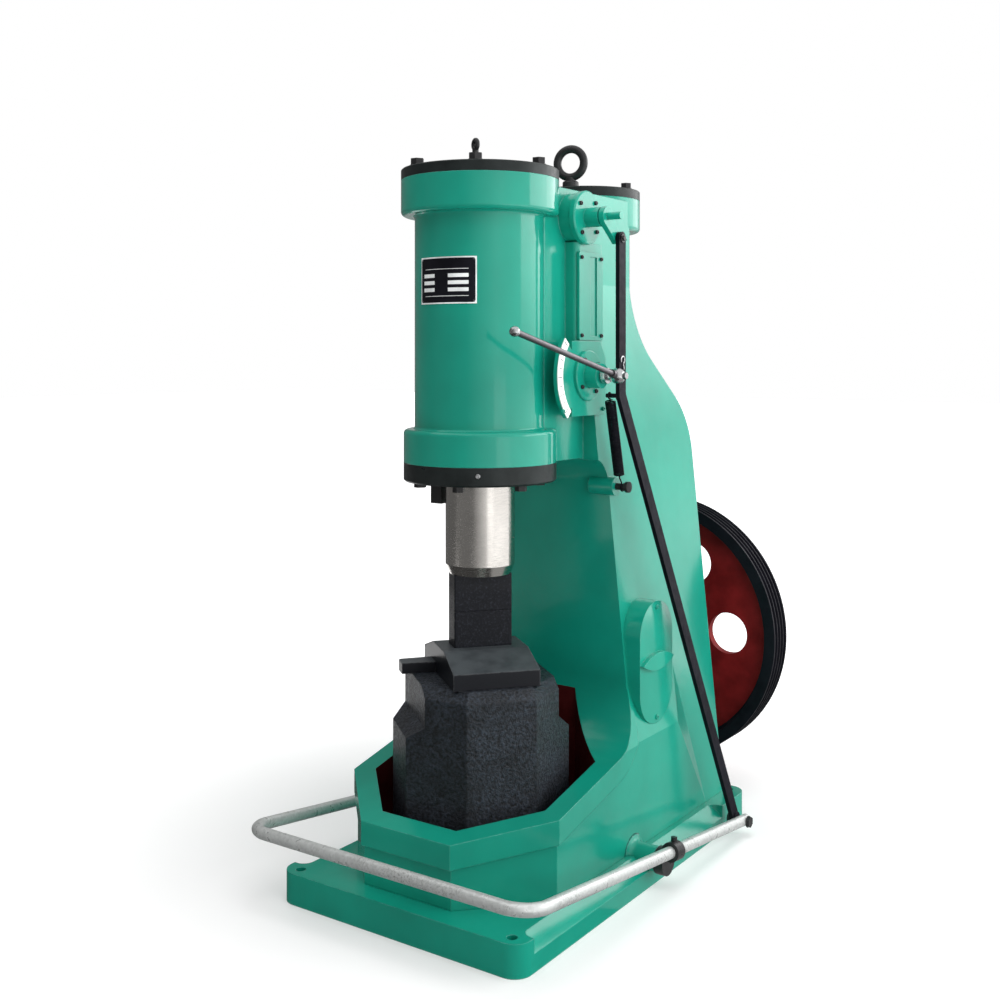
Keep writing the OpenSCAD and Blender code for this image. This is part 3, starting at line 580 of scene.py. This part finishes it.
def bearing_bolts():
    """Six hex bolts round the crank bearing's flange, at the back."""
    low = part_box("crank_bearing")[0]
    middle = (WHEEL.x, low.y + 30 * MM, WHEEL.z)
    circle_r = 108 * MM
    bolts = Piece()
    for k in range(6):
        spot = on_circle(middle, circle_r, 30 + 60 * k, "xz")
        bolts.hex_head(facing(spot, BACKWARD, 10 * k), 18 * MM, 10 * MM)
    bolts.make("bearing_bolts", BOLT_BLACK, "frame", "cover_bolts")


def gland_plugs():
    """Round oil plug on the gland's rim, and a matching one behind."""
    low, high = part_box("gland_flange")
    rim = (high.x - low.x) / 2
    plugs = Piece()
    for degrees in (-56, 124):
        spot = on_circle((0, RAM_Y, low.z + 24 * MM), rim - 1 * MM, degrees, "xy")
        out = spot - Vector((0, RAM_Y, spot.z))
        plugs.cap_head(facing(spot, out), 5.5 * MM, 3.5 * MM)
    plugs.make("gland_plugs", BRIGHT_STEEL, "frame", "treadle_stubs")


def wheel_hub():
    """Ring with three screws and the shaft key, on the flywheel's hub."""
    hub = Piece()
    end = Vector((WHEEL.x, outer("flywheel", 1) - 22 * MM, WHEEL.z))
    inner, rim, thick, chamfer = 40 * MM, 60 * MM, 8 * MM, 2 * MM
    hub.turn([(inner, 0), (rim - chamfer, 0), (rim, chamfer), (rim, thick - chamfer),
              (rim - chamfer, thick), (inner, thick)], facing(end, BACKWARD), 48)
    key = end + Vector((0, thick / 2, 46 * MM))
    hub.block(facing(key, BACKWARD), (14 * MM, 12 * MM, 12 * MM), 1.5 * MM)
    face = end + thick * Vector(BACKWARD)
    for k in range(3):
        spot = on_circle(face, (inner + rim) / 2, 30 + 120 * k, "xz")
        hub.cap_head(facing(spot, BACKWARD), 4.5 * MM, 4 * MM)
    hub.make("wheel_hub_washer", BRIGHT_STEEL, "flywheel", "treadle_stubs")


# ---------------------------------------------------------------- valve linkage
def rod_fasteners():
    """The open hook on the rod, and the washer and split pin over the rod's top pin."""
    hook = Piece()
    middle = Vector((ROD_OUT_X + 1.2 * MM, ROD_Y - 2 * MM, VALVE_LOW_Z + 36 * MM))
    bow = [on_circle(middle, 8 * MM, degrees, "yz") for degrees in range(-60, 211, 15)]
    hook.tube([bow[0] + Vector((-4 * MM, 1 * MM, -5 * MM))] + bow, 2.1 * MM)
    tail = Vector((0, 2 * MM, -9 * MM))
    hook.tube([middle + tail, middle + tail * 1.8 + Vector((1 * MM, 0, 0)), middle + tail * 2.5],
              1.6 * MM)
    hook.make("rod_hook", BRIGHT_STEEL, "pull_rod", "treadle_stubs")

    pin = Vector((ROD_OUT_X, ROD_Y, TOP_PIN_Z))
    head = Piece()
    head.turn([(0, 0.3 * MM), (10 * MM, 0.3 * MM), (10.5 * MM, 0.8 * MM), (10.5 * MM, 2 * MM),
               (10 * MM, 2.6 * MM), (6.1 * MM, 2.6 * MM), (6.1 * MM, 5 * MM), (5 * MM, 6.2 * MM),
               (0, 6.2 * MM)], facing(pin, RIGHT), 28)
    head.tube([pin + Vector((4 * MM, -11 * MM, 3 * MM)), pin + Vector((4 * MM, -6 * MM, 1 * MM)),
               pin + Vector((4 * MM, 7 * MM, -1 * MM)), pin + Vector((4 * MM, 11 * MM, -4 * MM))],
              1.1 * MM)
    head.make("top_pin_washer", BOLT_BLACK, "valve_lever", "pull_rod")


def spring():
    """Close-wound return spring in place of its plain CAD cylinder, hooked at both ends.

    Its coil keeps its length: when the treadle is pressed, only the upper hook moves.
    """
    low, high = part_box("return_spring")
    radius = (high.x - low.x) / 2
    along = Vector((0, -math.sin(SPRING_TILT), math.cos(SPRING_TILT)))
    side = Vector((0, math.cos(SPRING_TILT), math.sin(SPRING_TILT)))
    across = Vector(RIGHT)
    x = (low.x + high.x) / 2
    foot = Vector((x, high.y - radius * side.y, low.z + radius * side.z))
    head = Vector((x, low.y + radius * side.y, high.z - radius * side.z))
    wire = 1.7 * MM
    pitch = 2.06 * wire
    length = (head - foot).length
    turns = int(length / pitch)
    per_turn = 14
    coil_r = radius - wire
    points = []
    for k in range(turns * per_turn + 1):
        angle = math.tau * k / per_turn
        rise = length * k / (turns * per_turn)
        points.append(foot + along * rise
                      + coil_r * (math.cos(angle) * side + math.sin(angle) * across))
    coil = Piece()
    coil.tube(points, wire, 6)
    pin = centre("spring_anchor")
    pin.x = x
    loop = [on_circle(pin, 10 * MM, degrees, "yz") for degrees in range(115, 416, 15)]
    coil.tube([points[0], foot + coil_r * 0.3 * side - along * 3 * MM,
               foot - along * 6 * MM] + loop, wire, 8)
    coil.make("return_spring_coil", ROD_BLACK, "frame", "return_spring", "return_spring")

    peg = Vector((x, ROD_Y - 11 * MM, head.z + 12.6 * MM))
    eye = [on_circle(peg, 7 * MM, degrees, "yz") for degrees in range(285, -46, -15)]
    shank = 40 * MM
    hook = Piece()
    hook.tube([head - along * shank, head + along * 1 * MM] + eye, wire, 8)
    hook.make("spring_hook", ROD_BLACK, "pull_rod", "return_spring")


def scale_marks():
    """Plain dark lines across the white scale, every other one long."""
    middle = (outer("scale_arc", 0), VALVE_Y, VALVE_LOW_Z)
    marks = Piece()
    first, step = 143, 9.6
    short_mark, long_mark = (118.5 * MM, 10 * MM), (120 * MM, 15 * MM)
    for k in range(9):
        degrees = first + step * k
        reach, length = short_mark if k % 2 else long_mark
        spot = on_circle(middle, reach, degrees, "yz")
        place = Matrix.Translation(spot) @ Matrix.Rotation(math.radians(degrees), 4, "X")
        marks.block(place, (0.5 * MM, length, 1.4 * MM), 0.15 * MM)
    marks.make("scale_marks", TICK_BLACK, "frame", "scale_arc")


def lever_clamp():
    """Pinch screw and collar where the control handle joins its shaft."""
    clamp = Piece()
    place = facing((outer("hand_lever", 0) - 1 * MM, VALVE_Y, VALVE_LOW_Z), RIGHT, 20)
    clamp.hex_head(place, 15 * MM, 7 * MM)
    backward = Vector((0, math.cos(LEVER_TILT), -math.sin(LEVER_TILT)))
    collar = Vector((262 * MM, VALVE_Y, VALVE_LOW_Z)) + 16 * MM * backward
    clamp.turn([(0, 0), (7 * MM, 0), (7.5 * MM, 0.8 * MM), (7.5 * MM, 6 * MM), (6.5 * MM, 7 * MM),
                (0, 7 * MM)], facing(collar, backward), 24)
    clamp.make("lever_clamp_screw", BRIGHT_STEEL, "hand_lever", "hand_lever")


# ---------------------------------------------------------------- nameplate
def nameplate():
    """Generic plate: black field, blank pale boxes in rows, corner rivets, no lettering.

    It spans from start to end in degrees round the barrel.
    """
    low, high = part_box("nameplate")
    face = BARREL_R + 1.5 * MM
    start, end = -114, -57
    border = 3 * MM
    edge = math.degrees(border / face)
    field = Piece()
    field.bent_panel(face, (start + edge, end - edge), (low.z + border, high.z - border),
                     0.35 * MM, 5 * MM)
    field.make("nameplate_field", PLATE_BLACK, "frame", "front_cover")

    boxes = Piece()
    height = high.z - low.z
    tall = 0.040 * height
    wide = end - start
    for z in [low.z + share * height for share in (0.30, 0.45, 0.60)]:
        for left, right in ((0.09, 0.32), (0.56, 0.88)):
            arc = (start + wide * left, start + wide * right)
            boxes.bent_panel(face + 0.3 * MM, arc, (z - tall, z + tall), 0.3 * MM, 0.8 * MM)
    arc = (start + wide * 0.12, end - wide * 0.12)
    line = 0.6 * MM
    for z in [low.z + share * height for share in (0.165, 0.74)]:
        boxes.bent_panel(face + 0.2 * MM, arc, (z - line, z + line), 0.3 * MM, 0.4 * MM)
    boxes.make("nameplate_boxes", PLATE_SILVER, "frame", "nameplate")

    rivets = Piece()
    head_r, head_h = 2.6 * MM, 1.5 * MM
    dome = [(head_r * math.cos(math.radians(t)), head_h * math.sin(math.radians(t)))
            for t in range(0, 90, 15)]
    for degrees in (start + 2.4, end - 2.4):
        for z in (low.z + 6 * MM, high.z - 6 * MM):
            spot = on_circle((0, RAM_Y, z), face, degrees, "xy")
            out = spot - Vector((0, RAM_Y, z))
            rivets.turn([(0, -0.5 * MM), (head_r, -0.5 * MM)] + dome + [(0, head_h)],
                        facing(spot, out), 16)
    rivets.make("nameplate_rivets", TURNED_STEEL, "frame", "nameplate")


# ---------------------------------------------------------------- studio
def camera():
    """Level camera, aimed from the front right at the photograph's angle."""
    data = bpy.data.cameras.new("camera")
    data.sensor_width = CAMERA_SENSOR
    data.lens = CAMERA_LENS
    data.shift_y = CAMERA_SHIFT
    cam = bpy.data.objects.new("camera", data)
    cam.location = CAMERA_PLACE
    cam.rotation_euler = (math.pi / 2, 0, math.radians(CAMERA_TURN))
    bpy.context.scene.collection.objects.link(cam)
    bpy.context.scene.camera = cam


def seen_rays(tree):
    """1 for camera, glossy and transmission rays, 0 for the rest."""
    path = tree.nodes.new("ShaderNodeLightPath").outputs
    total = path["Is Camera Ray"]
    for kind in ("Is Glossy Ray", "Is Transmission Ray"):
        either = tree.nodes.new("ShaderNodeMath")
        either.operation = "MAXIMUM"
        tree.links.new(total, either.inputs[0])
        tree.links.new(path[kind], either.inputs[1])
        total = either.outputs[0]
    return total


def floor():
    """Pale floor that fades to the white background and keeps the object's shadow."""
    mesh = bpy.data.meshes.new("floor")
    size = 30
    corners = [(-size, -size, 0), (size, -size, 0), (size, size, 0), (-size, size, 0)]
    mesh.from_pydata(corners, [], [(0, 1, 2, 3)])
    obj = bpy.data.objects.new("floor", mesh)
    bpy.context.scene.collection.objects.link(obj)
    g = Graph("floor")
    away = g.add("VectorMath", {0: g.position()}, operation="LENGTH").outputs["Value"]
    lift = g.math("MULTIPLY", seen_rays(g.tree), g.ramp(away, 0.6, 2.6, 0.22, 1.0))
    grain = g.ramp(g.noise(6.0), 0.3, 0.7, 0.60, 0.70)
    mesh.materials.append(g.set(Base_Color=(0.80, 0.80, 0.80, 1), Roughness=grain,
                                Specular_IOR_Level=0.1, Emission_Color=(1, 1, 1, 1),
                                Emission_Strength=lift))


def lamp(name, azimuth, distance, height, aim, size, power):
    """A softbox at an azimuth from +X towards +Y, aimed at a height on the object's axis.

    Neither the camera nor a reflection sees it: cards and flags shape the gloss.
    """
    data = bpy.data.lights.new(name, "AREA")
    data.shape = "RECTANGLE"
    data.size, data.size_y = size
    data.energy = power
    obj = bpy.data.objects.new(name, data)
    obj.location = on_circle((0, 0, height), distance, azimuth, "xy")
    to_axis = Vector((0, 0, aim)) - obj.location
    obj.rotation_euler = to_axis.to_track_quat("-Z", "Y").to_euler()
    obj.visible_camera = False
    obj.visible_glossy = False
    bpy.context.scene.collection.objects.link(obj)


def flag(name, start, end, grey):
    """A grey mat on the floor, between two azimuths, that only reflections see."""
    middle = (0, 0, FLAG_HEIGHT)
    azimuths = range(start, end + 1, FLAG_STEP)
    outline = [middle] + [tuple(on_circle(middle, FLAG_RADIUS, a, "xy")) for a in azimuths]
    reflection_only(name, outline, Matrix(), grey)


def card(name, azimuth, distance, width, heights, grey, fade=0.0, far_grey=None):
    """A glowing card that only reflections see; grey is its strength, 1 being white.

    It may rise from CARD_FOOT to that strength over its lowest fade metres, or change
    across its width to far_grey, with rising azimuth.
    """
    outline = [(-width / 2, 0, heights[0]), (width / 2, 0, heights[0]),
               (width / 2, 0, heights[1]), (-width / 2, 0, heights[1])]
    place = Matrix.Translation(on_circle((0, 0, 0), distance, azimuth, "xy"))
    place = place @ Matrix.Rotation(math.radians(azimuth + 90), 4, "Z")
    reflection_only(name, outline, place, grey, fade, far_grey)


def reflection_only(name, outline, place, grey, fade=0.0, far_grey=None):
    """One glowing face for reflections: it adds no diffuse light and casts no shadow."""
    mesh = bpy.data.meshes.new(name)
    mesh.from_pydata(outline, [], [tuple(range(len(outline)))])
    obj = bpy.data.objects.new(name, mesh)
    obj.matrix_world = place
    bpy.context.scene.collection.objects.link(obj)
    obj.visible_camera = False
    obj.visible_diffuse = False
    obj.visible_shadow = False
    g = Graph(name)
    level = grey
    if fade:
        height = g.add("SeparateXYZ", {0: g.position()}).outputs["Z"]
        low = outline[0][2]
        level = g.ramp(height, low, low + fade, CARD_FOOT, grey)
    if far_grey is not None:
        along = g.add("SeparateXYZ", {0: g.position()}).outputs["X"]
        level = g.ramp(along, outline[0][0], outline[1][0], grey, far_grey)
    mesh.materials.append(g.set(Base_Color=(0, 0, 0, 1), Roughness=1.0, Specular_IOR_Level=0.0,
                                Emission_Color=(1, 1, 1, 1), Emission_Strength=level))


def world():
    """White for what is seen or mirrored, softer as a light."""
    made = bpy.data.worlds.new("world")
    bpy.context.scene.world = made
    made.use_nodes = True
    tree = made.node_tree
    level = tree.nodes.new("ShaderNodeMapRange")
    level.inputs["To Min"].default_value = WORLD_LIGHT
    level.inputs["To Max"].default_value = WORLD_SEEN
    tree.links.new(seen_rays(tree), level.inputs["Value"])
    sky = tree.nodes["Background"]
    sky.inputs["Color"].default_value = (1, 1, 1, 1)
    tree.links.new(level.outputs["Result"], sky.inputs["Strength"])


def studio():
    camera()
    floor()
    # azimuth, distance, height, height aimed at, (width, height), watts
    lamp("softbox_right", 35, 3.4, 1.45, 0.6, (4.0, 2.6), 90)
    lamp("key_front", -15, 4.0, 1.9, 0.7, (3.2, 3.2), 68)
    lamp("fill_back", 160, 4.0, 2.0, 0.8, (3.4, 3.0), 34)
    lamp("top", -60, 1.0, 4.0, 0.8, (3.0, 3.0), 74)
    # azimuth, distance, width, (lowest, highest), strength
    card("sky_right", 50, 3.4, 4.4, (1.1, 3.2), 3.5, 0.9)
    card("key_low", -25, 3.0, 1.1, (0.1, 1.1), 1.7)
    card("dark_back", 125, 3.4, 4.4, (0.2, 4.0), 0.35)
    card("dark_left", 180, 2.6, 5.4, (0.0, 4.0), 0.14)
    card("dark_front", 258, 3.0, 4.6, (0.0, 4.2), 0.20)
    card("grey_front", 308, 2.9, 2.8, (0.0, 4.2), 0.20, far_grey=1.15)
    # first and last azimuth, strength
    flag("dark_floor", 170, 335, 0.06)
    flag("grey_floor", 335, 475, 0.40)
    world()
    bpy.context.scene.view_settings.view_transform = "Standard"


finish_frame()
valve_screws()
side_cover_screws()
bearing_bolts()
gland_plugs()
wheel_hub()
rod_fasteners()
spring()
scale_marks()
lever_clamp()
nameplate()
studio()
